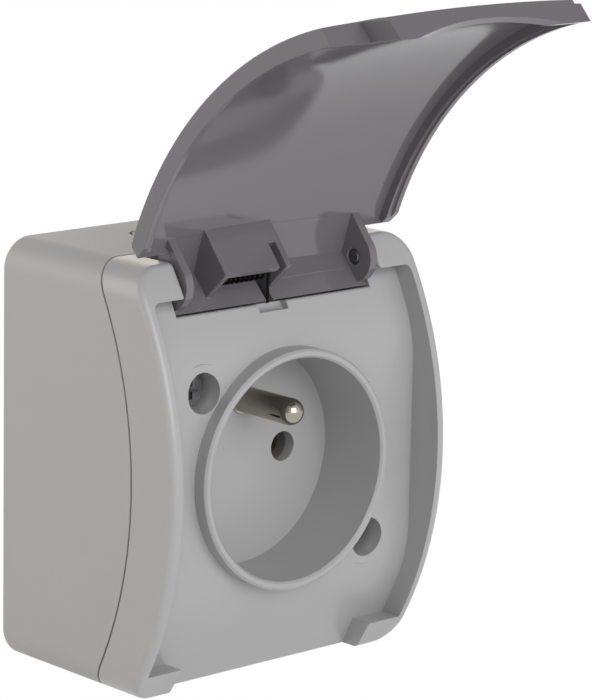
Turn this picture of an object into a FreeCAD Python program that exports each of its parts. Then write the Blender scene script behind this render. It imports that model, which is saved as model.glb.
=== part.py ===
import FreeCAD, Part
import math
import os
import Sketcher
from FreeCAD import Vector

# Surface-mounted weatherproof socket outlet with a sprung lid, all lengths in millimetres.
# The origin is the centre of the back face, which lies on the wall.
# X runs to the right seen from the front, Y runs back into the wall, Z runs up.
# A distance called front is measured forwards from the wall, so it is minus Y.

os.makedirs("parts", exist_ok=True)
doc = FreeCAD.newDocument("WeatherproofSocket")
sheet = doc.addObject("Spreadsheet::Sheet", "Sizes")

SIZES = [
    # housing
    ("width", 63.4, "housing, side to side"),
    ("height", 75.8, "housing, bottom to top"),
    ("corner_radius", 5.5, "housing corners seen from the front"),
    ("back_edge_radius", 0.8, "rounded edge round the back face"),
    ("face_front", 46.75, "wall to the foremost line of the rims"),
    ("face_radius", 66.5, "bulge of the rims and the lid seen from the side"),
    ("seam_front", 35.4, "wall to the foremost line of the box rim"),
    ("seam_radius", 71.5, "bulge of the joint line seen from the side"),
    ("seam_gap", 0.4, "gasket thickness when closed"),
    # back box
    ("box_wall", 1.9, "side walls of the box"),
    ("back_wall", 2.4, "back wall of the box"),
    ("boss_radius", 3.3, "posts that take the cover screws"),
    ("rib_thickness", 1.4, "ribs between the posts and the side walls"),
    ("rib_front", 19.0, "wall to the front edge of those ribs"),
    ("slot_pitch", 50.0, "between the two wall screw slots"),
    ("slot_width", 4.6, "wall screw slots, across"),
    ("slot_length", 7.8, "wall screw slots, along"),
    ("slot_pad", 2.6, "raised pad round each slot"),
    ("slot_pad_rise", 1.2, "rise of that pad"),
    ("knockout_radius", 10.0, "rear knock-out"),
    ("knockout_groove", 0.9, "width of its groove"),
    ("knockout_depth", 1.2, "depth of its groove"),
    ("drain_radius", 3.5, "drain marks on the top face"),
    ("drain_groove", 0.5, "width of their grooves"),
    ("drain_depth", 0.6, "depth of their grooves"),
    ("drain_reach", 8.3, "drain marks, sideways from the middle"),
    ("drain_front", 11.7, "drain marks, from the wall"),
    ("entry_radius", 6.5, "cable entry in the bottom wall"),
    ("entry_front", 12.4, "cable entry, from the wall"),
    ("entry_rim", 1.9, "thickened ring round the cable entry"),
    ("entry_rise", 1.6, "rise of that ring inside"),
    ("entry_recess", 1.1, "counterbore depth under the cable entry"),
    ("grommet_lip", 1.8, "grommet lip past the entry hole"),
    ("grommet_wall", 0.9, "grommet membrane"),
    ("grommet_rise", 3.4, "grommet nipple above its inner lip"),
    ("gasket_set_back", 1.0, "gasket edge behind the outer face"),
    # front cover
    ("cover_wall", 2.2, "side walls of the cover"),
    ("rim_width", 2.1, "curved rims beside the lid"),
    ("panel_front", 39.85, "wall to the flat middle of the panel"),
    ("panel_wall", 1.8, "panel thickness"),
    ("fold_drop", 17.4, "folds of the panel, from the top and from the bottom"),
    ("fold_radius", 25.0, "rounding of the folds"),
    ("panel_end_depth", 3.64, "panel behind the curve of the rims at the top and bottom"),
    ("rim_round", 1.3, "outer edges of the rims"),
    ("shoulder_round", 0.8, "inner edges of the shoulders"),
    ("foot_height", 5.1, "feet at the lower corners"),
    ("foot_reach", 9.6, "feet, in from the side"),
    ("shoulder_height", 5.6, "shoulders at the upper corners"),
    ("shoulder_reach", 9.3, "shoulders, in from the side"),
    ("recess_corner", 1.3, "upper corners of the lid recess"),
    ("skirt_clearance", 0.2, "cover skirt to the box wall"),
    ("skirt_wall", 1.2, "cover skirt"),
    ("skirt_reach", 3.0, "cover skirt past the joint line"),
    ("collar_front", 42.7, "wall to the collar edge"),
    ("collar_radius", 21.3, "collar, outside"),
    ("well_radius", 19.75, "plug well, inside"),
    ("well_front", 27.9, "wall to the floor of the plug well"),
    ("well_wall", 2.2, "floor of the plug well"),
    ("collar_chamfer", 0.4, "edge of the collar"),
    ("pin_pitch", 19.0, "between the plug pin holes"),
    ("pin_hole_radius", 2.7, "plug pin holes"),
    ("earth_rise", 10.0, "earth pin above the middle"),
    ("screw_reach", 19.4, "cover screws, sideways from the middle"),
    ("screw_rise", 15.8, "cover screws, up and down from the middle"),
    ("screw_well_radius", 3.55, "wells of the cover screws"),
    ("screw_well_wall", 1.4, "tubes round those wells"),
    ("screw_seat_front", 34.4, "wall to the seats of the cover screws"),
    ("screw_seat_wall", 1.8, "thickness of those seats"),
    # hinge
    ("hinge_depth", 4.03, "hinge axis behind the curve of the rims"),
    ("hinge_drop", 4.03, "hinge axis below the top"),
    ("trough_radius", 5.6, "trough of the cover round the hinge axis"),
    ("trough_wall", 1.6, "wall of that trough"),
    ("trough_round", 0.6, "front lip of that trough"),
    ("pin_radius", 1.3, "hinge pins"),
    ("pin_play", 0.07, "hinge pin to the ear bore"),
    ("pin_fit", 0.02, "hinge pin to the shoulder bore"),
    ("pin_depth", 6.0, "shoulder bores"),
    ("scoop_radius", 1.5, "scoop for the spring leg"),
    ("scoop_width", 6.6, "scoop, side to side"),
    ("open_angle", 133.1, "lid from closed to fully open"),
    # lid
    ("lid_side_gap", 0.3, "lid to each rim"),
    ("lid_wall", 1.5, "side and end walls of the lid"),
    ("lid_skin", 1.1, "skin of the lid at its sides"),
    ("lid_depth", 3.1, "lid side walls, front to back"),
    ("lid_crown", 1.1, "bulge of the lid from side to side"),
    ("lid_step", 0.5, "step along the edge of the side walls"),
    ("lid_ledge", 0.5, "width of that step"),
    ("lid_top_gap", 1.1, "upper ends of the lid to the shoulders"),
    ("lid_top_wall", 0.9, "lip along those ends"),
    ("lid_top_depth", 1.6, "lid at those ends, front to back"),
    ("lid_top_chamfer", 0.65, "inner edge of that lip, so that it swings clear of the shoulders"),
    ("lid_corner", 2.0, "upper corners of the lid"),
    ("lid_foot_gap", 1.1, "lid corners to the feet"),
    ("lid_end_gap", 0.5, "lid end to the bottom of the housing"),
    ("lid_tongue_gap", 1.3, "lid end to the inner sides of the feet"),
    ("ear_gap", 0.3, "ears to the shoulders"),
    ("ear_wall", 1.6, "ears"),
    ("ear_inset", 0.1, "ears inside the edge of the flange"),
    ("ear_radius", 4.5, "ears round the hinge axis"),
    ("ear_tip_drop", 4.92, "lower tips of the ears below the hinge axis"),
    ("bore_chamfer", 0.25, "edges of the ear bores"),
    ("flange_drop", 0.6, "flange below the top of the housing"),
    ("flange_wall", 1.4, "flange"),
    ("flange_radius", 5.3, "flange end round the hinge axis"),
    ("hood_left", 13.9, "hood, left side from the middle"),
    ("hood_right", 1.2, "hood, right side from the middle"),
    ("hood_wall", 1.2, "walls of the hood"),
    ("hood_reach", 2.45, "open side of the hood behind the hinge axis"),
    ("hood_drop", 4.77, "underside of the hood below the hinge axis"),
    ("slot_gap", 1.6, "slot for the spring leg"),
    ("arch_half_width", 17.0, "finger arch in the lid end"),
    ("arch_depth", 2.6, "finger arch"),
    # spring
    ("wire_radius", 0.25, "spring wire"),
    ("coil_radius", 1.25, "spring coil, to the middle of the wire"),
    ("coil_turns", 10.5, "turns of the spring, ending half a turn from where it starts"),
    ("coil_end_gap", 0.15, "coil to the hood wall"),
    ("arbor_gap", 0.15, "coil to the arbor inside it"),
    ("arbor_length", 3.4, "arbor moulded in the hood"),
    # screws
    ("cover_screw_radius", 1.75, "cover screws, shank"),
    ("cover_screw_head", 2.75, "cover screws, head radius"),
    ("cover_screw_head_height", 1.9, "cover screws, head"),
    ("cover_screw_length", 20.0, "cover screws under the head"),
    ("screw_play", 0.2, "screws in their plain holes"),
    ("thread_play", 0.05, "screws in their threaded holes"),
    # mechanism behind the well
    ("base_half_width", 14.4, "contact carrier, half width"),
    ("base_half_height", 28.4, "contact carrier, half height"),
    ("base_plate", 2.4, "plate of the contact carrier"),
    ("base_front", 8.6, "wall to the back of the contact carrier"),
    ("base_rib", 1.1, "walls of the contact carrier"),
    ("base_screw_rise", 24.6, "carrier screws from the middle"),
    ("base_screw_radius", 1.25, "carrier screws, shank"),
    ("base_screw_head", 2.5, "carrier screws, head radius"),
    ("base_screw_head_height", 1.8, "carrier screws, head"),
    ("base_screw_length", 8.0, "carrier screws under the head"),
    ("base_boss_radius", 3.2, "posts that take the carrier screws"),
    ("block_half_height", 7.0, "contact chambers, half height"),
    ("terminal_drop", 14.6, "live and neutral terminals below the middle"),
    ("terminal_half", 3.3, "terminal blocks, half width"),
    ("terminal_length", 7.4, "terminal blocks, front to back"),
    ("terminal_gap", 0.2, "terminal blocks in their chambers"),
    ("wire_hole_radius", 1.4, "conductor holes of the terminals"),
    ("terminal_screw_radius", 1.4, "terminal screws, shank"),
    ("terminal_screw_head", 2.3, "terminal screws, head radius"),
    ("terminal_screw_head_height", 1.5, "terminal screws, head"),
    ("terminal_screw_length", 3.9, "terminal screws under the head"),
    ("strip", 0.8, "brass strip"),
    ("sleeve_radius", 2.35, "contact sleeves, inside"),
    ("sleeve_length", 9.6, "contact sleeves"),
    ("sleeve_slit", 1.0, "slit of the contact sleeves"),
    ("clip_wire", 0.6, "steel clips round the sleeves"),
    ("clip_width", 2.4, "steel clips, front to back"),
    ("chamber_radius", 3.9, "chambers of the contact sleeves"),
    ("peg_radius", 1.2, "pegs of the carrier's back plate"),
    ("peg_length", 2.8, "those pegs"),
    ("earth_pin_radius", 2.4, "earth pin"),
    ("earth_pin_tip", 42.6, "wall to the tip of the earth pin"),
    ("earth_pin_play", 0.05, "earth pin in the well floor"),
    ("earth_shoulder", 0.3, "earth pin shoulder in the well floor, past the pin"),
    ("earth_shoulder_rise", 0.1, "rise of that shoulder above the well floor"),
    ("earth_collar", 1.0, "earth pin collar past the pin"),
    ("earth_collar_height", 1.2, "earth pin collar"),
    ("earth_shank", 1.8, "earth pin shank behind the collar"),
    ("earth_head", 2.8, "riveted head of the earth pin"),
    ("earth_head_height", 1.0, "height of that head"),
    ("earth_seat", 20.6, "wall to the seat of the earth strap"),
    ("earth_terminal_rise", 17.2, "earth terminal above the middle"),
    ("lid_plate", 1.4, "back plate of the contact carrier"),
]
for row, (alias, number, note) in enumerate(SIZES, start=1):
    sheet.set("A%d" % row, alias.replace("_", " "))
    sheet.set("B%d" % row, str(number))
    sheet.setAlias("B%d" % row, alias)
    sheet.set("C%d" % row, note)
doc.recompute()


class Size:
    """A number together with the sheet formula that gives it."""

    def __init__(self, number, formula):
        self.number = float(number)
        self.formula = formula

    def __add__(self, other):
        other = as_size(other)
        return Size(self.number + other.number, "(%s + %s)" % (self.formula, other.formula))

    def __sub__(self, other):
        other = as_size(other)
        return Size(self.number - other.number, "(%s - %s)" % (self.formula, other.formula))

    def __mul__(self, other):
        other = as_size(other)
        return Size(self.number * other.number, "(%s * %s)" % (self.formula, other.formula))

    def __truediv__(self, other):
        other = as_size(other)
        return Size(self.number / other.number, "(%s / %s)" % (self.formula, other.formula))

    def __radd__(self, other):
        return as_size(other) + self

    def __rsub__(self, other):
        return as_size(other) - self

    def __rmul__(self, other):
        return as_size(other) * self

    def __neg__(self):
        return Size(-self.number, "(-1 * %s)" % self.formula)


def as_size(value):
    if isinstance(value, Size):
        return value
    return Size(value, "(%r)" % float(value))


def root(size):
    return Size(math.sqrt(size.number), "sqrt(%s)" % size.formula)


def cosine(size):
    return Size(math.cos(math.radians(size.number)), "cos(%s)" % size.formula)


def sine(size):
    return Size(math.sin(math.radians(size.number)), "sin(%s)" % size.formula)


def arcsine(size):
    return Size(math.degrees(math.asin(size.number)), "(asin(%s) / 1 deg)" % size.formula)


class Sheet:
    """Every cell of the sheet, by its alias."""


cell = Sheet()
for alias, number, note in SIZES:
    setattr(cell, alias, Size(number, "Sizes.%s" % alias))

SIDES = (-1, 1)
BITE = 0.3       # how far a rib or wall reaches into what carries it

# Places that follow from the sizes.
half_width = cell.width / 2
half_height = cell.height / 2
FAR = half_height + 5            # past the top and the bottom of the housing
CLEAR = cell.face_front + 15     # in front of every face of the housing
face_centre = cell.face_radius - cell.face_front
seam_centre = cell.seam_radius - cell.seam_front
hinge_z = half_height - cell.hinge_drop
recess_half = half_width - cell.rim_width
foot_top = -half_height + cell.foot_height
foot_inner = half_width - cell.foot_reach
shoulder_bottom = half_height - cell.shoulder_height
trough_half = half_width - cell.shoulder_reach
panel_fold = half_height - cell.fold_drop
boss_front = cell.screw_seat_front - cell.screw_seat_wall
well_back = cell.well_front - cell.well_wall
plate_back = well_back - cell.base_plate
pin_half = cell.pin_pitch / 2


def on_face_arc(z, inset=0):
    """Y on the curve of the rims and the lid, at a height and a depth behind it."""
    radius = cell.face_radius - inset
    return face_centre - root(radius * radius - as_size(z) * z)


hinge_y = on_face_arc(hinge_z) + cell.hinge_depth
panel_slope = (on_face_arc(half_height) + cell.panel_end_depth + cell.panel_front) / cell.fold_drop

changes = []     # features that must add or remove material


def bind(thing, path, size):
    """Give a property its size, tied to the sheet."""
    size = as_size(size)
    thing.setExpression(path, size.formula)


def new_body(label):
    body = doc.addObject("PartDesign::Body", label)
    body.Label = label
    return body


def origin_plane(body, role):
    return [item for item in body.Origin.OriginFeatures if item.Role == role][0]


def new_sketch(body, role, x=None, y=None, z=None):
    """A sketch on one of the body's own planes, moved along the sketch's axes."""
    sketch = body.newObject("Sketcher::SketchObject", "Profile")
    sketch.AttachmentSupport = [(origin_plane(body, role), "")]
    sketch.MapMode = "FlatFace"
    for axis, shift in (("x", x), ("y", y), ("z", z)):
        if shift is not None:
            bind(sketch, ".AttachmentOffset.Base." + axis, shift)
    return sketch


def side_sketch(body, x=None):
    """Seen from the right: the sketch's x is Y and its y is Z."""
    return new_sketch(body, "YZ_Plane", z=x)


def front_sketch(body, front=None):
    """Seen from the front, at a distance from the wall: x is X and y is Z."""
    return new_sketch(body, "XZ_Plane", z=front)


def plan_sketch(body, z=None, y=None, x=None):
    """Seen from above: x is X and y is Y."""
    return new_sketch(body, "XY_Plane", x=x, y=y, z=z)


def constrain(sketch, kind, first, size):
    size = as_size(size)
    number = sketch.addConstraint(Sketcher.Constraint(kind, *first, size.number))
    sketch.setExpression("Constraints[%d]" % number, size.formula)


def hold(sketch, geometry, point, x=None, y=None):
    """Fix a point of a sketch at its place from the sketch's origin."""
    for kind, axis, value in (("DistanceX", -2, x), ("DistanceY", -1, y)):
        if value is None:
            continue
        if not isinstance(value, Size) and value == 0:
            sketch.addConstraint(Sketcher.Constraint("PointOnObject", geometry, point, axis))
        else:
            constrain(sketch, kind, (-1, 1, geometry, point), value)


def circle(sketch, x, y, radius):
    centre = Vector(as_size(x).number, as_size(y).number, 0)
    geometry = sketch.addGeometry(Part.Circle(centre, Vector(0, 0, 1), as_size(radius).number), False)
    hold(sketch, geometry, 3, x, y)
    constrain(sketch, "Radius", (geometry,), radius)


def outline(sketch, corners, arcs=None):
    """A closed outline through the corners, each (x, y) or (x, y, held axes).

    arcs gives, for the edge that follows a corner, the centre, the radius and the way it turns:
    1 for counter-clockwise. A corner on an arc is held along one axis only.
    """
    arcs = arcs or {}
    count = len(corners)
    points = [Vector(as_size(c[0]).number, as_size(c[1]).number, 0) for c in corners]
    edges = []
    for index in range(count):
        start, end = points[index], points[(index + 1) % count]
        if index in arcs:
            x, y, radius, turn = arcs[index]
            centre = Vector(as_size(x).number, as_size(y).number, 0)
            first, last = (start, end) if turn == 1 else (end, start)
            from_angle = math.atan2(first.y - centre.y, first.x - centre.x)
            to_angle = math.atan2(last.y - centre.y, last.x - centre.x)
            if to_angle <= from_angle:
                to_angle += 2 * math.pi
            ring = Part.Circle(centre, Vector(0, 0, 1), as_size(radius).number)
            geometry = sketch.addGeometry(Part.ArcOfCircle(ring, from_angle, to_angle), False)
            hold(sketch, geometry, 3, x, y)
            constrain(sketch, "Radius", (geometry,), radius)
            ends = (1, 2) if turn == 1 else (2, 1)
        else:
            geometry = sketch.addGeometry(Part.LineSegment(start, end), False)
            ends = (1, 2)
        edges.append((geometry, ends))
    for index in range(count):
        geometry, ends = edges[index]
        following, next_ends = edges[(index + 1) % count]
        sketch.addConstraint(Sketcher.Constraint("Coincident", geometry, ends[1], following, next_ends[0]))
    for index, corner in enumerate(corners):
        geometry, ends = edges[index]
        held = corner[2] if len(corner) > 2 else "xy"
        hold(sketch, geometry, ends[0],
             corner[0] if "x" in held else None,
             corner[1] if "y" in held else None)


def rectangle(sketch, left, right, low, high):
    outline(sketch, [(left, low), (right, low), (right, high), (left, high)])


def rounded_rectangle(sketch, half_x, half_y, radius, x=0, y=0):
    """A rectangle about (x, y) with round corners."""
    half_x, half_y, radius = as_size(half_x), as_size(half_y), as_size(radius)
    arcs = []
    for quarter, (sign_x, sign_y) in enumerate(((1, 1), (-1, 1), (-1, -1), (1, -1))):
        centre_x = sign_x * (half_x - radius) + x
        centre_y = sign_y * (half_y - radius) + y
        ring = Part.Circle(Vector(centre_x.number, centre_y.number, 0), Vector(0, 0, 1), radius.number)
        start = quarter * math.pi / 2
        geometry = sketch.addGeometry(Part.ArcOfCircle(ring, start, start + math.pi / 2), False)
        hold(sketch, geometry, 3, centre_x, centre_y)
        constrain(sketch, "Radius", (geometry,), radius)
        arcs.append(geometry)
    for index in range(4):
        this, following = arcs[index], arcs[(index + 1) % 4]
        start = sketch.getPoint(this, 2)
        end = sketch.getPoint(following, 1)
        line = sketch.addGeometry(Part.LineSegment(start, end), False)
        sketch.addConstraint(Sketcher.Constraint("Tangent", this, 2, line, 1))
        sketch.addConstraint(Sketcher.Constraint("Tangent", line, 2, following, 1))


def extrude(body, kind, sketch, length, middle, backwards):
    feature = body.newObject(kind, kind.split("::")[1])
    feature.Profile = sketch
    if length is None:
        feature.Type = "ThroughAll"
    else:
        bind(feature, "Length", length)
    feature.Midplane = middle
    feature.Reversed = backwards
    sketch.Visibility = False
    changes.append((feature, 1 if kind.endswith("Pad") else -1))
    return feature


def pad(body, sketch, length, middle=False, backwards=False):
    return extrude(body, "PartDesign::Pad", sketch, length, middle, backwards)


def pocket(body, sketch, length=None, middle=False, backwards=False):
    return extrude(body, "PartDesign::Pocket", sketch, length, middle, backwards)


def turn(body, kind, sketch, down=None, up=None, axis="H_Axis"):
    """A revolution or a groove about the sketch's own axis, all round or between two angles."""
    feature = body.newObject(kind, kind.split("::")[1])
    feature.Profile = sketch
    feature.ReferenceAxis = (sketch, [axis])
    if down is None:
        feature.Angle = 360
    else:
        feature.Type = "TwoAngles"
        bind(feature, "Angle", down)
        bind(feature, "Angle2", up)
    sketch.Visibility = False
    changes.append((feature, 1 if kind.endswith("Revolution") else -1))
    return feature


def edges_where(shape, wanted):
    return ["Edge%d" % (index + 1) for index, edge in enumerate(shape.Edges) if wanted(edge)]


def dress(body, kind, wanted, size):
    """Fillet or chamfer the edges of the body's last feature that are wanted."""
    doc.recompute()
    base = body.Tip
    names = edges_where(base.Shape, wanted)
    feature = body.newObject(kind, kind.split("::")[1])
    feature.Base = (base, names)
    bind(feature, "Radius" if kind.endswith("Fillet") else "Size", size)
    base.Visibility = False
    changes.append((feature, 0))
    return feature


def near(value, target, reach=0.02):
    return abs(value - as_size(target).number) < reach


def on_curve(edge, radius):
    """Whether an edge lies on the curve of the rims and the lid, seen from the side."""
    points = edge.discretize(5)
    return all(near(math.hypot(p.y - face_centre.number, p.z), radius) for p in points)


def on_seam_arc(z, radius):
    return seam_centre - root(radius * radius - as_size(z) * z)


def on_panel(z_size, sign):
    """Y of the sloping part of the panel at a height."""
    return -cell.panel_front + (sign * as_size(z_size) - panel_fold) * panel_slope


def cut_front(body, centre, radius, depth=CLEAR):
    """Remove all that lies in front of a curve seen from the side."""
    high = centre - root(radius * radius - as_size(FAR) * FAR)
    sketch = side_sketch(body)
    corners = [(high, FAR, "y"), (high, -FAR, "y"), (-depth, -FAR), (-depth, FAR)]
    outline(sketch, corners, {0: (centre, 0, radius, 1)})
    return pocket(body, sketch, middle=True)


def cut_back(body, centre, radius):
    """Remove all that lies behind a curve seen from the side."""
    high = centre - root(radius * radius - as_size(FAR) * FAR)
    sketch = side_sketch(body)
    corners = [(high, FAR, "y"), (high, -FAR, "y"), (10.0, -FAR), (10.0, FAR)]
    outline(sketch, corners, {0: (centre, 0, radius, 1)})
    return pocket(body, sketch, middle=True)


def housing_outline(body, inset=0, front=None):
    sketch = front_sketch(body, front)
    rounded_rectangle(sketch, half_width - inset, half_height - inset, cell.corner_radius - inset)
    return sketch


def make_back_box():
    """The box that is screwed to the wall: shell, screw posts, slots, knock-out and cable entry."""
    body = new_body("back_box")
    pad(body, housing_outline(body), cell.seam_front + 1)
    dress(body, "PartDesign::Fillet",
          lambda edge: all(near(v.Point.y, 0) for v in edge.Vertexes),
          cell.back_edge_radius)
    cut_front(body, seam_centre, cell.seam_radius)
    pocket(body, housing_outline(body, cell.box_wall, cell.back_wall), FAR, backwards=True)
    post_height = boss_front - cell.thread_play * 4 - cell.back_wall + BITE
    for side in SIDES:
        rib = front_sketch(body, cell.back_wall - BITE)
        inner = side * cell.screw_reach
        outer = side * (half_width - cell.box_wall + BITE)
        middle = -side * cell.screw_rise
        left, right = (outer, inner) if side < 0 else (inner, outer)
        rectangle(rib, left, right, middle - cell.rib_thickness / 2, middle + cell.rib_thickness / 2)
        pad(body, rib, cell.rib_front - cell.back_wall + BITE)
        post = front_sketch(body, cell.back_wall - BITE)
        circle(post, inner, middle, cell.boss_radius)
        pad(body, post, post_height)
        bore = front_sketch(body, cell.back_wall - BITE + post_height)
        circle(bore, inner, middle, cell.cover_screw_radius + cell.thread_play)
        pocket(body, bore, cell.cover_screw_length + 1)
    for side in SIDES:
        raised = front_sketch(body, cell.back_wall - BITE)
        rounded_rectangle(raised, cell.slot_width / 2 + cell.slot_pad, cell.slot_length / 2 + cell.slot_pad,
                          cell.slot_width / 2 + cell.slot_pad - 0.1, 0, side * cell.slot_pitch / 2)
        pad(body, raised, cell.slot_pad_rise + BITE)
        slot = front_sketch(body)
        rounded_rectangle(slot, cell.slot_width / 2, cell.slot_length / 2,
                          cell.slot_width / 2 - 0.1, 0, side * cell.slot_pitch / 2)
        pocket(body, slot, cell.back_wall + cell.slot_pad_rise + 1, backwards=True)
    ring = front_sketch(body)
    circle(ring, 0, 0, cell.knockout_radius)
    circle(ring, 0, 0, cell.knockout_radius - cell.knockout_groove)
    pocket(body, ring, cell.knockout_depth, backwards=True)
    for side in SIDES:
        mark = plan_sketch(body, half_height)
        circle(mark, side * cell.drain_reach, -cell.drain_front, cell.drain_radius)
        circle(mark, side * cell.drain_reach, -cell.drain_front, cell.drain_radius - cell.drain_groove)
        pocket(body, mark, cell.drain_depth)
    lip_radius = cell.entry_radius + cell.grommet_lip
    ring = plan_sketch(body, cell.box_wall - half_height - BITE)
    circle(ring, 0, -cell.entry_front, lip_radius + cell.entry_rim)
    pad(body, ring, cell.entry_rise + BITE)
    recess = plan_sketch(body, -half_height)
    circle(recess, 0, -cell.entry_front, lip_radius + cell.screw_play)
    pocket(body, recess, cell.entry_recess, backwards=True)
    hole = plan_sketch(body, -half_height)
    circle(hole, 0, -cell.entry_front, cell.entry_radius)
    pocket(body, hole, cell.box_wall + cell.entry_rise + 1, backwards=True)
    return body


def make_cable_grommet():
    """Rubber grommet that snaps into the cable entry, with a blind nipple to cut open."""
    body = new_body("cable_grommet")
    body_top = cell.box_wall + cell.entry_rise - half_height
    seat = cell.entry_recess - half_height
    lip = plan_sketch(body, seat - cell.entry_recess + 0.3)
    circle(lip, 0, -cell.entry_front, cell.entry_radius + cell.grommet_lip)
    pad(body, lip, cell.entry_recess - 0.3)
    neck = plan_sketch(body, seat)
    circle(neck, 0, -cell.entry_front, cell.entry_radius - cell.thread_play)
    pad(body, neck, body_top - seat)
    inner = plan_sketch(body, body_top)
    circle(inner, 0, -cell.entry_front, cell.entry_radius + cell.grommet_lip / 2)
    pad(body, inner, cell.grommet_wall)
    nipple = plan_sketch(body, body_top + cell.grommet_wall)
    circle(nipple, 0, -cell.entry_front, cell.entry_radius * 0.62)
    cone = pad(body, nipple, cell.grommet_rise)
    cone.TaperAngle = -12
    hollow = plan_sketch(body, -half_height)
    circle(hollow, 0, -cell.entry_front, cell.entry_radius * 0.62 - cell.grommet_wall * 1.8)
    pocket(body, hollow, body_top + cell.grommet_rise + half_height, backwards=True)
    return body


def make_box_gasket():
    """Flat rubber ring that follows the curved joint between the box and the cover."""
    body = new_body("box_gasket")
    ring = housing_outline(body, cell.gasket_set_back)
    inset = cell.box_wall
    rounded_rectangle(ring, half_width - inset, half_height - inset, cell.corner_radius - inset)
    pad(body, ring, cell.seam_front + 2)
    cut_front(body, seam_centre, cell.seam_radius + cell.seam_gap)
    cut_back(body, seam_centre, cell.seam_radius)
    return body


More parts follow.
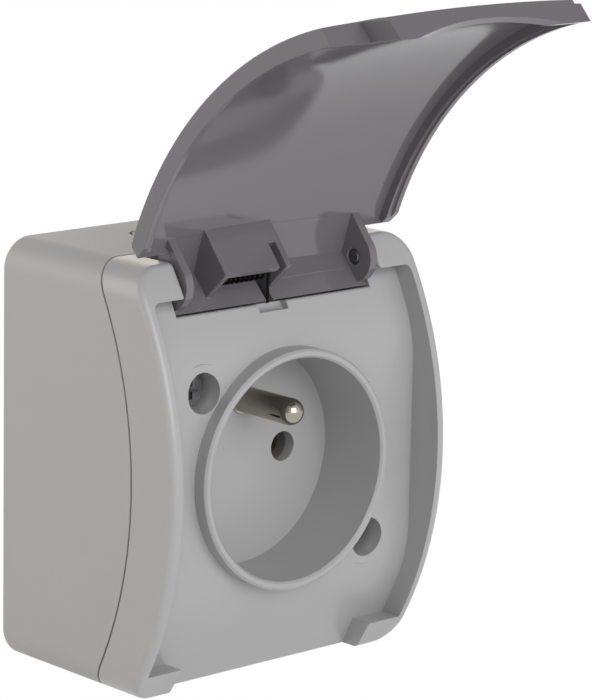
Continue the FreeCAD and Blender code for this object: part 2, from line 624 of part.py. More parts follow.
def make_front_cover():
    """The front moulding: rims, feet, shoulders, folded panel, plug well, hinge trough."""
    body = new_body("front_cover")
    pad(body, housing_outline(body), cell.face_front + 1)
    cut_front(body, face_centre, cell.face_radius)
    dress(body, "PartDesign::Fillet",
          lambda edge: on_curve(edge, cell.face_radius),
          cell.rim_round)
    cut_back(body, seam_centre, cell.seam_radius + cell.seam_gap)
    # hollow behind the panel
    wall_y = cell.panel_wall * root(panel_slope * panel_slope + 1)
    inner_flat = -cell.panel_front + cell.panel_wall
    inner_fold = panel_fold - (wall_y - cell.panel_wall) / panel_slope
    inner_high = half_height - cell.cover_wall
    under_trough = hinge_z - cell.trough_radius - cell.trough_wall
    behind_trough = hinge_y + cell.trough_radius + cell.trough_wall
    hollow = side_sketch(body)
    outline(hollow, [
        (-10.0, -inner_high),
        (on_panel(-inner_high, -1) + wall_y, -inner_high),
        (inner_flat, -inner_fold),
        (inner_flat, inner_fold),
        (on_panel(under_trough, 1) + wall_y, under_trough),
        (-10.0, under_trough),
    ])
    pocket(body, hollow, cell.width - 2 * cell.cover_wall, middle=True)
    # skirt that slips into the box
    skirt_half = half_width - cell.box_wall - cell.skirt_clearance
    skirt_high = half_height - cell.box_wall - cell.skirt_clearance
    skirt_back = cell.seam_radius - cell.skirt_reach
    skirt_lap = cell.seam_radius + cell.seam_gap + 1.5
    turn_in = cell.corner_radius
    low = -skirt_high + turn_in
    high = under_trough - BITE
    for side in SIDES:
        band = side_sketch(body, side * (skirt_half - cell.skirt_wall / 2))
        outline(band, [
            (on_seam_arc(low, skirt_back), low, "y"),
            (on_seam_arc(low, skirt_lap), low, "y"),
            (on_seam_arc(high, skirt_lap), high, "y"),
            (on_seam_arc(high, skirt_back), high, "y"),
        ], {1: (seam_centre, 0, skirt_lap, -1), 3: (seam_centre, 0, skirt_back, 1)})
        pad(body, band, cell.skirt_wall, middle=True)
    skirt_end = on_seam_arc(skirt_high - cell.skirt_wall, skirt_back)
    bottom = side_sketch(body)
    rectangle(bottom, on_panel(-inner_high, -1) + wall_y - BITE, skirt_end,
              -skirt_high, -skirt_high + cell.skirt_wall)
    pad(body, bottom, 2 * (skirt_half - turn_in), middle=True)
    top = side_sketch(body)
    outline(top, [
        (hinge_y, under_trough),
        (behind_trough - cell.trough_wall * 2, under_trough),
        (behind_trough, under_trough + cell.trough_wall * 2),
        (behind_trough, skirt_high - cell.skirt_wall),
        (skirt_end, skirt_high - cell.skirt_wall),
        (skirt_end, skirt_high),
        (hinge_y, skirt_high),
    ])
    pad(body, top, 2 * (skirt_half - turn_in), middle=True)
    # recess for the lid, open between the feet
    recess = side_sketch(body)
    outline(recess, [
        (-CLEAR, foot_top),
        (on_panel(foot_top, -1), foot_top),
        (-cell.panel_front, -panel_fold),
        (-cell.panel_front, panel_fold),
        (on_panel(shoulder_bottom, 1), shoulder_bottom),
        (-CLEAR, shoulder_bottom),
    ])
    pocket(body, recess, 2 * recess_half, middle=True)
    dress(body, "PartDesign::Fillet",
          lambda edge: edge.BoundBox.XLength < 0.1 and edge.BoundBox.ZLength < 0.1
          and near(abs(edge.CenterOfMass.x), recess_half) and near(edge.CenterOfMass.z, shoulder_bottom),
          cell.recess_corner)
    dress(body, "PartDesign::Fillet",
          lambda edge: near(edge.BoundBox.XLength, 2 * recess_half)
          and near(abs(edge.CenterOfMass.z), panel_fold) and near(edge.CenterOfMass.y, -cell.panel_front),
          cell.fold_radius)
    mouth = side_sketch(body)
    outline(mouth, [
        (-CLEAR, -FAR),
        (on_panel(-FAR, -1), -FAR),
        (on_panel(foot_top + 1, -1), foot_top + 1),
        (-CLEAR, foot_top + 1),
    ])
    pocket(body, mouth, 2 * foot_inner, middle=True)
    # plug well with its collar, tubes of the cover screws, posts for the carrier
    cup = front_sketch(body, well_back)
    circle(cup, 0, 0, cell.collar_radius)
    pad(body, cup, cell.collar_front - well_back)
    for side in SIDES:
        tube = front_sketch(body, boss_front)
        circle(tube, side * cell.screw_reach, -side * cell.screw_rise,
               cell.screw_well_radius + cell.screw_well_wall)
        pad(body, tube, cell.panel_front - BITE * 2 - boss_front)
        post = front_sketch(body, well_back)
        circle(post, 0, side * cell.base_screw_rise, cell.base_boss_radius)
        post_front = cell.panel_front - (cell.base_screw_rise + cell.base_boss_radius
                                         - panel_fold) * panel_slope - cell.panel_wall / 2
        pad(body, post, post_front - well_back)
        pilot = front_sketch(body, well_back)
        circle(pilot, 0, side * cell.base_screw_rise, cell.base_screw_radius + cell.thread_play)
        pocket(body, pilot, cell.base_screw_length - cell.base_plate + 0.5, backwards=True)
    dress(body, "PartDesign::Chamfer",
          lambda edge: near(edge.BoundBox.YMin, -cell.collar_front) and near(edge.BoundBox.YMax, -cell.collar_front)
          and edge.BoundBox.XLength > cell.collar_radius.number,
          cell.collar_chamfer)
    well = front_sketch(body, cell.well_front)
    circle(well, 0, 0, cell.well_radius)
    pocket(body, well, FAR, backwards=True)
    dress(body, "PartDesign::Chamfer",
          lambda edge: near(edge.BoundBox.YMin, -cell.collar_front) and near(edge.BoundBox.YMax, -cell.collar_front)
          and near(edge.BoundBox.XLength, cell.well_radius * 2),
          cell.collar_chamfer)
    for side in SIDES:
        seat = front_sketch(body, cell.screw_seat_front)
        circle(seat, side * cell.screw_reach, -side * cell.screw_rise, cell.screw_well_radius)
        pocket(body, seat, FAR, backwards=True)
        hole = front_sketch(body, cell.screw_seat_front)
        circle(hole, side * cell.screw_reach, -side * cell.screw_rise,
               cell.cover_screw_radius + cell.screw_play)
        pocket(body, hole, cell.screw_seat_wall + 1)
    holes = front_sketch(body, cell.well_front)
    for side in SIDES:
        circle(holes, side * pin_half, 0, cell.pin_hole_radius)
    circle(holes, 0, cell.earth_rise, cell.earth_pin_radius + cell.earth_shoulder + cell.earth_pin_play)
    pocket(body, holes, cell.well_wall + 1)
    # hinge trough between the shoulders, pin bores, scoop for the spring leg
    round_cut = side_sketch(body)
    circle(round_cut, hinge_y, hinge_z, cell.trough_radius)
    pocket(body, round_cut, 2 * trough_half, middle=True)
    open_cut = side_sketch(body)
    rectangle(open_cut, -CLEAR, hinge_y + cell.trough_radius, hinge_z, FAR)
    pocket(body, open_cut, 2 * trough_half, middle=True)
    dress(body, "PartDesign::Fillet",
          lambda edge: near(edge.BoundBox.XLength, 2 * trough_half) and edge.CenterOfMass.y < hinge_y.number
          and hinge_z.number - cell.trough_radius.number < edge.CenterOfMass.z < hinge_z.number,
          cell.trough_round)
    dress(body, "PartDesign::Fillet",
          lambda edge: near(abs(edge.CenterOfMass.x), trough_half) and edge.BoundBox.XLength < 0.01
          and (on_curve(edge, cell.face_radius)
               or edge.BoundBox.ZLength < 0.01 and near(edge.CenterOfMass.z, shoulder_bottom)),
          cell.shoulder_round)
    for side in SIDES:
        bore = side_sketch(body, side * (trough_half - 1))
        circle(bore, hinge_y, hinge_z, cell.pin_radius + cell.pin_fit)
        pocket(body, bore, cell.pin_depth + 1, backwards=side > 0)
    scoop = side_sketch(body, -cell.slot_gap / 2)
    lip = hinge_z - cell.trough_radius
    circle(scoop, on_panel(lip, 1) + BITE, lip + BITE, cell.scoop_radius)
    pocket(body, scoop, cell.scoop_width, middle=True)
    return body


def place_open(body):
    """Turn a piece that is modelled closed to where the lid stands when it is open."""
    angle = -cell.open_angle
    body.Placement = FreeCAD.Placement(Vector(0, 0, 0), FreeCAD.Rotation(Vector(1, 0, 0), angle.number))
    bind(body, ".Placement.Rotation.Angle", angle)
    bind(body, ".Placement.Base.y", hinge_y - (hinge_y * cosine(angle) - hinge_z * sine(angle)))
    bind(body, ".Placement.Base.z", hinge_z - (hinge_y * sine(angle) + hinge_z * cosine(angle)))


def lid_ring(body, half, outer, inner):
    """A band across the lid between two distances from the centre of its curve."""
    sketch = plan_sketch(body, y=face_centre)
    rectangle(sketch, -half, half, -outer, -inner)
    return sketch


def crowned(body, kind, radius, low, high, behind, half):
    """Add or remove the space between a doubly curved skin and a plane, over a width of the lid.

    The skin keeps its distance from the crowned outside, so both turn about one upright axis.
    """
    shift = -lid_axis
    profile = new_sketch(body, "YZ_Plane", x=face_centre + lid_axis)
    corners = [
        (shift - root(radius * radius - high * high), high, "y"),
        (shift - root(radius * radius - low * low), low, "y"),
        (behind - face_centre + shift, low),
        (behind - face_centre + shift, high),
    ]
    outline(profile, corners, {0: (shift, 0, radius, 1)})
    angle = arcsine(half / (lid_axis + radius))
    return turn(body, kind, profile, angle, angle, "V_Axis")


lid_half = recess_half - cell.lid_side_gap
lid_crest = cell.face_radius + cell.lid_crown
# The crown is part of a circle through both sides; this is its centre behind that of the curve.
lid_axis = (lid_half * lid_half + cell.lid_crown * cell.lid_crown) / (2 * cell.lid_crown) - lid_crest
tongue_half = trough_half - cell.ear_gap
lid_top = shoulder_bottom - cell.lid_top_gap


def make_lid():
    """The lid, modelled closed: crowned skin, stepped walls, flange, ears, spring hood."""
    body = new_body("lid")
    outer = cell.face_radius
    edge = outer - cell.lid_depth
    inner = lid_crest - cell.lid_skin
    corner_end = foot_top + cell.lid_foot_gap
    end = -half_height + cell.lid_end_gap
    end_half = foot_inner - cell.lid_tongue_gap
    flange_top = half_height - cell.flange_drop
    flange_under = flange_top - cell.flange_wall
    ear_middle = tongue_half - cell.ear_inset - cell.ear_wall / 2
    sweep = arcsine((half_height + 2) / outer)
    turn(body, "PartDesign::Revolution", lid_ring(body, lid_half, lid_crest + 1, edge), sweep, sweep)
    # flange that reaches back over the hinge axis
    inner_reach = flange_under - hinge_z
    outer_reach = flange_top - hinge_z
    radius = cell.flange_radius
    flange_root = on_face_arc(flange_top, cell.lid_skin / 2 - cell.lid_crown * 0.7)
    flange_end = hinge_y + root(radius * radius - outer_reach * outer_reach)
    flange = side_sketch(body)
    outline(flange, [
        (flange_root, flange_under),
        (hinge_y + root(radius * radius - inner_reach * inner_reach), flange_under, "y"),
        (flange_end, flange_top, "y"),
        (flange_end, flange_top + 1),
        (flange_root, flange_top + 1),
    ], {1: (hinge_y, hinge_z, radius, 1)})
    pad(body, flange, 2 * tongue_half + 1, middle=True)
    # ends: the corners stop short of the feet and the shoulders, the middle goes on
    above = side_sketch(body)
    rectangle(above, -CLEAR * 2, 0.0, flange_top, CLEAR)
    pocket(body, above, middle=True)
    below = side_sketch(body)
    rectangle(below, -CLEAR * 2, 0.0, -CLEAR, end)
    pocket(body, below, middle=True)
    for side in SIDES:
        shoulder = side_sketch(body, side * tongue_half)
        rectangle(shoulder, -CLEAR * 2, 0.0, lid_top, CLEAR)
        pocket(body, shoulder, half_width, backwards=side > 0)
        thin = side_sketch(body, side * tongue_half)
        lip = on_face_arc(lid_top) + cell.lid_top_depth
        outline(thin, [
            (0.0, half_height / 2),
            (0.0, CLEAR),
            (lip - cell.lid_top_chamfer, CLEAR),
            (lip - cell.lid_top_chamfer, lid_top),
            (lip, lid_top - cell.lid_top_wall),
            (lip, half_height / 2),
        ])
        pocket(body, thin, half_width, backwards=side > 0)
        foot = side_sketch(body, side * end_half)
        rectangle(foot, -CLEAR * 2, 0.0, -CLEAR, corner_end)
        pocket(body, foot, half_width, backwards=side > 0)
    dress(body, "PartDesign::Fillet",
          lambda e: near(abs(e.CenterOfMass.x), lid_half) and near(e.CenterOfMass.z, lid_top)
          and e.BoundBox.ZLength < 0.01,
          cell.lid_corner)
    # hollow inside, with a step along the edge of the walls
    hollow_half = lid_half - cell.lid_wall
    low = corner_end + cell.lid_wall
    high = lid_top - cell.lid_top_wall
    behind = -edge / 4
    crowned(body, "PartDesign::Groove", inner, low, high, behind, hollow_half)
    crowned(body, "PartDesign::Groove", inner + 0.03, end + cell.lid_wall, low + 1, behind,
            end_half - cell.lid_wall)
    at_hinge = lid_axis + face_centre - hinge_y
    crowned(body, "PartDesign::Groove", inner + 0.03, high - 1, flange_under - 0.05, behind,
            ear_middle * (lid_axis + inner) / at_hinge)
    turn(body, "PartDesign::Groove",
         lid_ring(body, hollow_half + cell.lid_ledge, edge + cell.lid_step, edge / 2),
         arcsine((-low - BITE) / edge), arcsine((high + BITE) / edge))
    # finger arch in the end wall
    arch = plan_sketch(body, end - 1)
    arch_back = on_face_arc(end, cell.lid_depth)
    arch_radius = (cell.arch_half_width * cell.arch_half_width
                   + cell.arch_depth * cell.arch_depth) / (2 * cell.arch_depth)
    arch_side = -cell.arch_half_width
    outline(arch, [
        (arch_side, arch_back + 2 * cell.lid_depth),
        (arch_side, arch_back, "x"),
        (cell.arch_half_width, arch_back, "x"),
        (cell.arch_half_width, arch_back + 2 * cell.lid_depth),
    ], {1: (0, arch_back - cell.arch_depth + arch_radius, arch_radius, 1)})
    pocket(body, arch, cell.lid_wall + 1.5, backwards=True)
    # ears with their bores
    in_skin = cell.lid_skin / 2 - cell.lid_crown / 2
    ear_tip = hinge_z - cell.ear_tip_drop
    ear_high = flange_under + cell.flange_wall / 2
    ear_reach = ear_high - hinge_z
    for side in SIDES:
        ear = side_sketch(body, side * ear_middle)
        ear_radius = cell.ear_radius
        outline(ear, [
            (on_face_arc(ear_tip, in_skin), ear_tip),
            (hinge_y - 0.4, hinge_z - root(ear_radius * ear_radius - 0.16), "x"),
            (hinge_y + root(ear_radius * ear_radius - ear_reach * ear_reach), ear_high, "y"),
            (on_face_arc(ear_high, in_skin), ear_high),
        ], {1: (hinge_y, hinge_z, ear_radius, 1)})
        pad(body, ear, cell.ear_wall, middle=True)
        bore = side_sketch(body, side * (tongue_half + 0.5))
        circle(bore, hinge_y, hinge_z, cell.pin_radius + cell.pin_play)
        pocket(body, bore, cell.ear_wall + cell.ear_inset + 1, backwards=side < 0)
    dress(body, "PartDesign::Chamfer",
          lambda e: e.Closed and near(e.BoundBox.YLength, 2 * (cell.pin_radius + cell.pin_play))
          and abs(e.CenterOfMass.x) < ear_middle.number,
          cell.bore_chamfer)
    # hood over the spring, open at the back
    left = -cell.hood_left
    right = cell.hood_right
    back = hinge_y + cell.hood_reach
    floor = hinge_z - cell.hood_drop
    in_skin = cell.lid_skin / 2 - cell.lid_crown * 0.88
    plate = side_sketch(body, left)
    outline(plate, [
        (on_face_arc(floor - 0.6, in_skin), floor - 0.6),
        (back, floor),
        (back, floor + cell.hood_wall),
        (on_face_arc(floor + cell.hood_wall - 0.6, in_skin), floor + cell.hood_wall - 0.6),
    ])
    pad(body, plate, right - left)
    for start in (left, right - cell.hood_wall):
        cheek = side_sketch(body, start)
        outline(cheek, [
            (on_face_arc(floor - 0.6, in_skin), floor - 0.6),
            (back, floor),
            (back, ear_high),
            (on_face_arc(ear_high, in_skin), ear_high),
        ])
        pad(body, cheek, cell.hood_wall)
    arbor = side_sketch(body, left + cell.hood_wall - BITE)
    circle(arbor, hinge_y, hinge_z, cell.coil_radius - cell.wire_radius - cell.arbor_gap)
    pad(body, arbor, cell.arbor_length + BITE)
    # slots for the spring leg in the hood and in the flange
    slot_right = right - cell.hood_wall
    plate_slot = side_sketch(body, slot_right)
    rectangle(plate_slot, hinge_y - cell.hood_reach, back + 1, floor - 1, floor + cell.hood_wall + 0.5)
    pocket(body, plate_slot, cell.slot_gap)
    flange_slot = side_sketch(body, slot_right)
    rectangle(flange_slot, hinge_y, hinge_y + cell.flange_radius + 1, flange_under - 0.5, flange_top + 1)
    pocket(body, flange_slot, cell.slot_gap)
    # the outside bulges from side to side as well
    crown = new_sketch(body, "YZ_Plane", x=face_centre + lid_axis)
    reach = half_height + 2
    front = -lid_axis - root(lid_crest * lid_crest - reach * reach)
    clear = -lid_axis - lid_crest - 12
    outline(crown, [(front, reach, "y"), (front, -reach, "y"), (clear, -reach), (clear, reach)],
            {0: (-lid_axis, 0, lid_crest, 1)})
    turn(body, "PartDesign::Groove", crown, 6, 6, "V_Axis")
    place_open(body)
    return body


def make_hinge_pin(side, label):
    """One of the two pins pressed into the shoulders; the ears turn on them."""
    body = new_body(label)
    inner = trough_half - cell.ear_gap - cell.ear_inset - cell.ear_wall
    length = trough_half - inner + cell.pin_depth - 0.3
    sketch = side_sketch(body, side * inner)
    circle(sketch, hinge_y, hinge_z, cell.pin_radius)
    pad(body, sketch, length, backwards=side < 0)
    dress(body, "PartDesign::Chamfer", lambda edge: edge.Closed, 0.25)
    return body


def make_lid_spring():
    """Torsion spring round the hinge axis, with one leg down to the scoop of the cover."""
    body = new_body("lid_spring")
    start = -cell.hood_left + cell.hood_wall + cell.coil_end_gap + cell.wire_radius
    end = cell.hood_right - cell.hood_wall - cell.slot_gap / 2
    wire = plan_sketch(body, x=start, y=hinge_y, z=hinge_z)
    circle(wire, 0, as_size(0) + cell.coil_radius, cell.wire_radius)
    coil = body.newObject("PartDesign::AdditiveHelix", "Coil")
    coil.Profile = wire
    coil.ReferenceAxis = (wire, ["H_Axis"])
    coil.Mode = "pitch-turns-angle"
    bind(coil, "Turns", cell.coil_turns)
    bind(coil, "Pitch", (end - start) / cell.coil_turns)
    changes.append((coil, 1))
    leg_y = hinge_y - cell.coil_radius
    leg_bottom = hinge_z - cell.trough_radius + 0.1
    leg = plan_sketch(body, leg_bottom)
    circle(leg, end, leg_y, cell.wire_radius)
    pad(body, leg, hinge_z - leg_bottom)
    stub_length = cell.coil_radius * 0.8
    stub = plan_sketch(body, hinge_z - stub_length)
    circle(stub, start, hinge_y + cell.coil_radius, cell.wire_radius)
    pad(body, stub, stub_length)
    return body


def make_screw(label, places, head_radius, head_height, shank_radius, length, forwards):
    """Cross-head screws, each with the place of its seat, driven from the front or forwards."""
    body = new_body(label)
    for x, z, front in places:
        head = front_sketch(body, front)
        circle(head, x, z, head_radius)
        pad(body, head, head_height, backwards=forwards)
        shank = front_sketch(body, front)
        circle(shank, x, z, shank_radius)
        pad(body, shank, length, backwards=not forwards)
        top = front + head_height if not forwards else front - head_height
        for turned in (False, True):
            cross = front_sketch(body, top)
            long = head_radius * 0.62
            short = head_radius * 0.15
            across, along = (short, long) if turned else (long, short)
            rectangle(cross, x - across, x + across, z - along, z + along)
            pocket(body, cross, head_height * 0.55, backwards=forwards)
    return body


block_low = -(cell.terminal_drop + cell.terminal_half + cell.terminal_gap + cell.base_rib)
earth_high = cell.earth_terminal_rise + cell.terminal_half + cell.terminal_gap + cell.base_rib
earth_half = cell.terminal_half + cell.terminal_gap + cell.base_rib
chamber_half = cell.terminal_half + cell.terminal_gap
sleeve_front = plate_back - cell.terminal_gap
strap_front = sleeve_front - cell.sleeve_length
strap_back = strap_front - cell.strip
earth_strap_back = cell.earth_seat - cell.strip
earth_block_back = earth_strap_back - cell.terminal_length
PEG_HEIGHTS = (2.0, -13.0)


def carrier_blocks(body, front, length):
    """The outline shared by the chambers of the carrier and its back plate."""
    block = front_sketch(body, front)
    rectangle(block, -cell.base_half_width, cell.base_half_width, block_low, cell.block_half_height)
    pad(body, block, length)
    tower = front_sketch(body, front)
    rectangle(tower, -earth_half, earth_half, cell.block_half_height - BITE, earth_high)
    pad(body, tower, length)


def make_contact_base():
    """Carrier behind the plug well: a plate with chambers for the contacts and terminals."""
    body = new_body("contact_base")
    plate = front_sketch(body, plate_back)
    rounded_rectangle(plate, cell.base_half_width, cell.base_half_height, 3.0)
    pad(body, plate, cell.base_plate)
    carrier_blocks(body, cell.base_front, plate_back - cell.base_front + BITE)
    chambers = front_sketch(body, cell.base_front)
    for side in SIDES:
        circle(chambers, side * pin_half, 0, cell.chamber_radius)
    pocket(body, chambers, plate_back - cell.base_front, backwards=True)
    for side in SIDES:
        left = side * pin_half - chamber_half
        right = side * pin_half + chamber_half
        channel = front_sketch(body, cell.base_front)
        rectangle(channel, left, right, -cell.terminal_drop, 0.0)
        pocket(body, channel, strap_front + cell.terminal_gap - cell.base_front, backwards=True)
        room = front_sketch(body, cell.base_front)
        rectangle(room, left, right, -cell.terminal_drop - chamber_half, chamber_half - cell.terminal_drop)
        pocket(body, room, strap_front + cell.terminal_length + cell.terminal_gap - cell.base_front,
               backwards=True)
        entry = plan_sketch(body, block_low)
        circle(entry, side * pin_half, -(strap_front + cell.terminal_length / 2), cell.wire_hole_radius + 0.3)
        pocket(body, entry, cell.base_rib + 1, backwards=True)
    earth = front_sketch(body, cell.base_front)
    rectangle(earth, -chamber_half, chamber_half, cell.earth_rise - chamber_half,
              cell.earth_terminal_rise + chamber_half)
    pocket(body, earth, cell.earth_seat - cell.base_front, backwards=True)
    entry = plan_sketch(body, earth_high)
    circle(entry, 0, -(earth_block_back + cell.terminal_length / 2), cell.wire_hole_radius + 0.3)
    pocket(body, entry, cell.base_rib + 1)
    pins = front_sketch(body, plate_back)
    for side in SIDES:
        circle(pins, side * pin_half, 0, cell.pin_hole_radius)
        circle(pins, 0, side * cell.base_screw_rise, cell.base_screw_radius + cell.screw_play)
    pocket(body, pins, cell.base_plate + 1, backwards=True)
    shank = front_sketch(body, cell.earth_seat)
    circle(shank, 0, cell.earth_rise, cell.earth_shank + cell.earth_pin_play)
    pocket(body, shank, well_back - cell.earth_seat + 1, backwards=True)
    seat = front_sketch(body, well_back)
    circle(seat, 0, cell.earth_rise, cell.earth_pin_radius + cell.earth_collar + cell.terminal_gap)
    pocket(body, seat, cell.earth_collar_height)
    pegs = front_sketch(body, cell.base_front)
    for height in PEG_HEIGHTS:
        circle(pegs, 0, height, cell.peg_radius + cell.thread_play)
    pocket(body, pegs, cell.peg_length + 0.4, backwards=True)
    return body


def make_contact_cover():
    """Back plate of the carrier, held by pegs, with access holes for the terminal screws."""
    body = new_body("contact_cover")
    carrier_blocks(body, cell.base_front - cell.lid_plate, cell.lid_plate)
    pegs = front_sketch(body, cell.base_front - BITE)
    for height in PEG_HEIGHTS:
        circle(pegs, 0, height, cell.peg_radius)
    pad(body, pegs, cell.peg_length + BITE)
    access = front_sketch(body, cell.base_front)
    for side in SIDES:
        circle(access, side * pin_half, -cell.terminal_drop, cell.terminal_screw_head + 0.4)
    circle(access, 0, cell.earth_terminal_rise, cell.terminal_screw_head + 0.4)
    pocket(body, access, cell.lid_plate + 1)
    return body


def make_contact(side, label):
    """Slit sleeve that grips a plug pin, on a strip that runs down to the terminal."""
    body = new_body(label)
    x = side * pin_half
    outer = cell.sleeve_radius + cell.strip
    strip = front_sketch(body, strap_back)
    rectangle(strip, x - outer, x + outer, -cell.terminal_drop - cell.terminal_half, outer / 2)
    pad(body, strip, cell.strip)
    sleeve = front_sketch(body, strap_front - BITE)
    circle(sleeve, x, 0, outer)
    pad(body, sleeve, cell.sleeve_length + BITE)
    bore = front_sketch(body, sleeve_front)
    circle(bore, x, 0, cell.sleeve_radius)
    pocket(body, bore, cell.sleeve_length + 2)
    slit = front_sketch(body, sleeve_front)
    rectangle(slit, x - cell.sleeve_slit / 2, x + cell.sleeve_slit / 2, 0.0, outer + 1)
    pocket(body, slit, cell.sleeve_length - 1.5)
    hole = front_sketch(body, strap_front)
    circle(hole, x, -cell.terminal_drop, cell.terminal_screw_radius + cell.screw_play)
    pocket(body, hole, cell.strip + 1)
    return body


def make_terminal(label, x, z, back):
    """Brass block with a vertical hole for the conductor and a threaded hole for its screw."""
    body = new_body(label)
    half = cell.terminal_half
    block = front_sketch(body, back)
    rectangle(block, x - half, x + half, z - half, z + half)
    pad(body, block, cell.terminal_length)
    dress(body, "PartDesign::Chamfer", lambda edge: edge.BoundBox.YLength > 1, 0.5)
    conductor = plan_sketch(body, z - half - 1)
    circle(conductor, x, -(back + cell.terminal_length / 2), cell.wire_hole_radius)
    pocket(body, conductor, 2 * half + 2, backwards=True)
    thread = front_sketch(body, back)
    circle(thread, x, z, cell.terminal_screw_radius + cell.thread_play)
    pocket(body, thread, cell.terminal_length / 2, backwards=True)
    return body


def make_contact_clips():
    """Two open steel rings that squeeze the contact sleeves."""
    body = new_body("contact_clips")
    inner = cell.sleeve_radius + cell.strip + 0.03
    back = sleeve_front - cell.terminal_length
    for side in SIDES:
        x = side * pin_half
        ring = front_sketch(body, back)
        circle(ring, x, 0, inner + cell.clip_wire)
        circle(ring, x, 0, inner)
        pad(body, ring, cell.clip_width)
        gap = front_sketch(body, back + cell.clip_width)
        rectangle(gap, x - cell.sleeve_slit, x + cell.sleeve_slit, 0.0, inner + 2)
        pocket(body, gap, cell.clip_width + 1)
    return body


def make_earth_strap():
    """Brass strip from the earth pin up to the earth terminal."""
    body = new_body("earth_strap")
    strip = front_sketch(body, earth_strap_back)
    rectangle(strip, -cell.terminal_half, cell.terminal_half, cell.earth_rise - cell.terminal_half,
              cell.earth_terminal_rise + cell.terminal_half)
    pad(body, strip, cell.strip)
    hole = front_sketch(body, cell.earth_seat)
    circle(hole, 0, cell.earth_rise, cell.earth_shank + cell.thread_play)
    pocket(body, hole, cell.strip + 1)
    return body


def make_earth_pin():
    """Round-nosed earth pin, clamped by its collar and riveted behind the strap."""
    body = new_body("earth_pin")
    radius = cell.earth_pin_radius
    collar = radius + cell.earth_collar
    collar_back = -(well_back - cell.earth_collar_height)
    head_front = -earth_strap_back
    head_back = head_front + cell.earth_head_height
    shoulder = radius + cell.earth_shoulder
    shoulder_front = -(cell.well_front + cell.earth_shoulder_rise)
    profile = new_sketch(body, "YZ_Plane", y=cell.earth_rise)
    outline(profile, [
        (-cell.earth_pin_tip, 0, "y"),
        (radius - cell.earth_pin_tip, radius, "x"),
        (shoulder_front, radius),
        (shoulder_front, shoulder),
        (-well_back, shoulder),
        (-well_back, collar),
        (collar_back, collar),
        (collar_back, cell.earth_shank),
        (head_front, cell.earth_shank),
        (head_front, cell.earth_head),
        (head_back, cell.earth_head * 0.75),
        (head_back, 0),
    ], {0: (radius - cell.earth_pin_tip, 0, radius, -1)})
    turn(body, "PartDesign::Revolution", profile)
    return body


make_back_box()
make_box_gasket()
make_cable_grommet()
make_front_cover()
make_screw("cover_screws",
           [(side * cell.screw_reach, -side * cell.screw_rise, cell.screw_seat_front) for side in SIDES],
           cell.cover_screw_head, cell.cover_screw_head_height, cell.cover_screw_radius,
           cell.cover_screw_length, False)
make_lid()
make_hinge_pin(-1, "hinge_pin_left")
make_hinge_pin(1, "hinge_pin_right")
make_lid_spring()
make_earth_pin()
make_earth_strap()
make_contact_base()
make_contact_cover()
make_contact(-1, "live_contact")
make_contact(1, "neutral_contact")
make_contact_clips()
make_terminal("live_terminal", -pin_half, -cell.terminal_drop, strap_front)
make_terminal("neutral_terminal", as_size(pin_half), -cell.terminal_drop, strap_front)
make_terminal("earth_terminal", as_size(0), cell.earth_terminal_rise, earth_block_back)
make_screw("terminal_screws",
           [(-pin_half, -cell.terminal_drop, strap_back), (pin_half, -cell.terminal_drop, strap_back),
            (as_size(0), cell.earth_terminal_rise, earth_block_back)],
           cell.terminal_screw_head, cell.terminal_screw_head_height, cell.terminal_screw_radius,
           cell.terminal_screw_length, True)
make_screw("base_screws",
           [(as_size(0), side * cell.base_screw_rise, plate_back) for side in SIDES],
           cell.base_screw_head, cell.base_screw_head_height, cell.base_screw_radius,
           cell.base_screw_length, True)

doc.recompute()

for thing in doc.Objects:
    if "Invalid" in thing.State or "Error" in thing.State:
        raise RuntimeError("%s of %s could not be built" % (thing.Label, thing.FullName))
for feature, sign in changes:
    before = feature.BaseFeature.Shape.Volume if feature.BaseFeature else 0.0
    change = feature.Shape.Volume - before
    if abs(change) < 1e-4 or change * sign < 0:
        raise RuntimeError("%s changes nothing or works the wrong way" % feature.FullName)
for body in doc.findObjects("PartDesign::Body"):
    shape = body.Shape
    if shape.isNull() or not shape.isValid() or not shape.Solids:
        raise RuntimeError("%s has no sound shape" % body.Label)
    shape.exportStep("parts/%s.step" % body.Label)
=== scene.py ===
import math

import bpy
from mathutils import Matrix, Vector


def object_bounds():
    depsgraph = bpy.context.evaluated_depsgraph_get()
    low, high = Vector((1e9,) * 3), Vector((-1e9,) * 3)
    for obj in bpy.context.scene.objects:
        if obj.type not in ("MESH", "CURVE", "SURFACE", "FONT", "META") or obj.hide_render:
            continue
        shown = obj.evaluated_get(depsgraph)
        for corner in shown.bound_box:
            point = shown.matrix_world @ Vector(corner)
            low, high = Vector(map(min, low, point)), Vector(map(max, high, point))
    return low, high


bl_info = {
    "name": "Weatherproof socket",
    "version": (1, 0, 0),
    "blender": (4, 5, 0),
    "location": "3D View > Sidebar > Socket",
    "description": "Finishes a surface-mounted weatherproof socket with an open lid and sets up its studio",
    "category": "Object",
}

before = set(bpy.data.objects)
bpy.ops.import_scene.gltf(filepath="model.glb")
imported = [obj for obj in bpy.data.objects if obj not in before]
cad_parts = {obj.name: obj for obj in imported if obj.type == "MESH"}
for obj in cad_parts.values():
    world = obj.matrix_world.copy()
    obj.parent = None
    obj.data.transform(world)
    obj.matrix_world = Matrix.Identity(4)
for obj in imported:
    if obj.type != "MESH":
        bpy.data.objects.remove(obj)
cad_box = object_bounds()

MM = 0.001

# Nearly all of a noise texture's values lie between these, and a finish spreads them over its own range.
NOISE_LOW, NOISE_HIGH = 0.15, 0.85

# Usual for ABS, polyamide and rubber.
PLASTIC_IOR = 1.54
# Over a moulded face the colour drifts by this share, and the roughness by this much.
FLOW_TINT, FLOW_GLOSS = 0.01, 0.02
# Rays that find the rounding of an edge.
EDGE_SAMPLES = 4

# Bare metal changes colour by this share, in patches of this size in millimetres.
PATCH_TINT, PATCH_SIZE = 0.04, 1.5
